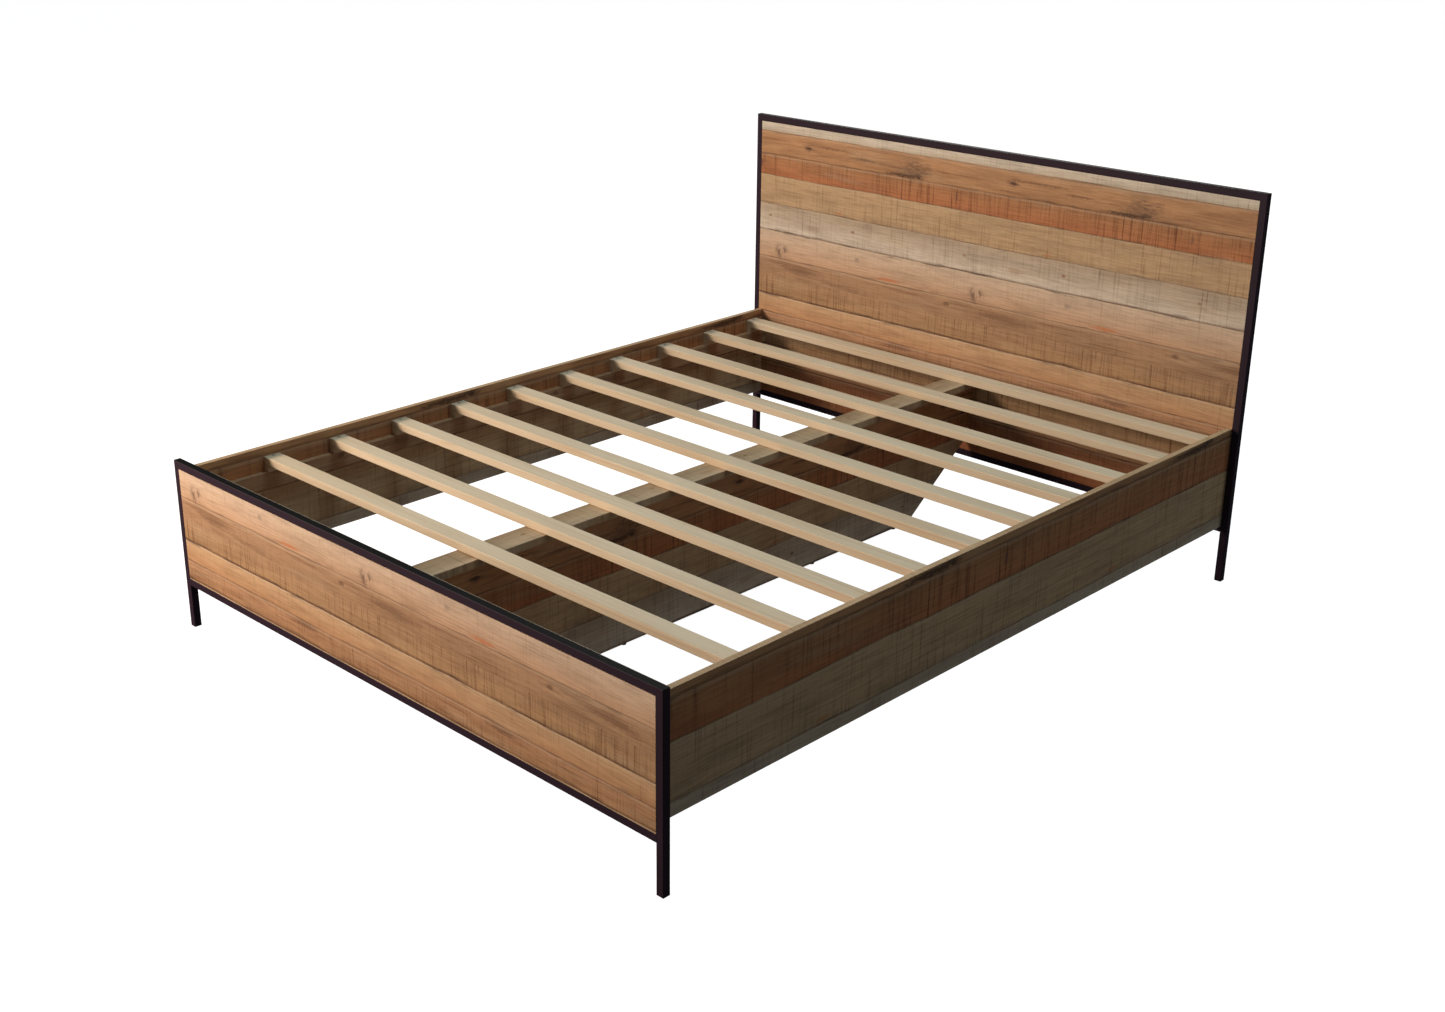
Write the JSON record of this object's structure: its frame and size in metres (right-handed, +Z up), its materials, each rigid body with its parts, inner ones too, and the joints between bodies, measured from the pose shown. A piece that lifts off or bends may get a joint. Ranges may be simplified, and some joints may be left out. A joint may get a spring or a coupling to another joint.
{
  "type": "bed frame",
  "caption": "Double bed frame: plank-effect boards in square black steel tubes, side rails, centre beam and cross slats for a 160 x 200 cm mattress.",
  "frame": {"origin": "on the floor, under the middle of the frame's overall length and width", "axes": "+Y towards the headboard, +Z up, +X to the right for someone standing at the foot and looking at the headboard"},
  "size_m": [1.68, 2.085, 1.03],
  "materials": {
    "headboard_planks": "matt foil of mixed reclaimed planks, rough sawn look",
    "footboard_planks": "matt foil of mixed reclaimed planks, rough sawn look",
    "rail_planks": "matt foil of mixed reclaimed planks, rough sawn look",
    "beam_planks": "matt foil of mixed reclaimed planks, rough sawn look",
    "pine": "planed, unfinished softwood",
    "black_steel": "satin black powder coat",
    "zinc_screw": "zinc plated",
    "black_plastic": "matt moulded plastic"
  },
  "bodies": {
    "root": {"access_caps": "black_plastic", "bracket_screws": "black_steel", "centre_glides": "black_plastic", "centre_plank": "beam_planks", "centre_upright": "beam_planks", "corner_brackets": "black_steel", "footboard_foot_plug_left": "black_plastic", "footboard_foot_plug_right": "black_plastic", "footboard_lower_tube": "black_steel", "footboard_panel": "footboard_planks", "footboard_post_left": "black_steel", "footboard_post_right": "black_steel", "footboard_top_tube": "black_steel", "headboard_foot_plug_left": "black_plastic", "headboard_foot_plug_right": "black_plastic", "headboard_lower_tube": "black_steel", "headboard_panel": "headboard_planks", "headboard_post_left": "black_steel", "headboard_post_right": "black_steel", "headboard_top_tube": "black_steel", "ledger_left": "rail_planks", "ledger_right": "rail_planks", "ledger_screws": "zinc_screw", "panel_screws": "black_steel", "plank_screws": "zinc_screw", "side_rail_left": "rail_planks", "side_rail_right": "rail_planks", "slat_01": "pine", "slat_02": "pine", "slat_03": "pine", "slat_04": "pine", "slat_05": "pine", "slat_06": "pine", "slat_07": "pine", "slat_08": "pine", "slat_09": "pine", "slat_10": "pine", "slat_11": "pine", "slat_risers_left": "pine", "slat_risers_right": "pine", "slat_screws": "zinc_screw"}
  },
  "joints": []
}
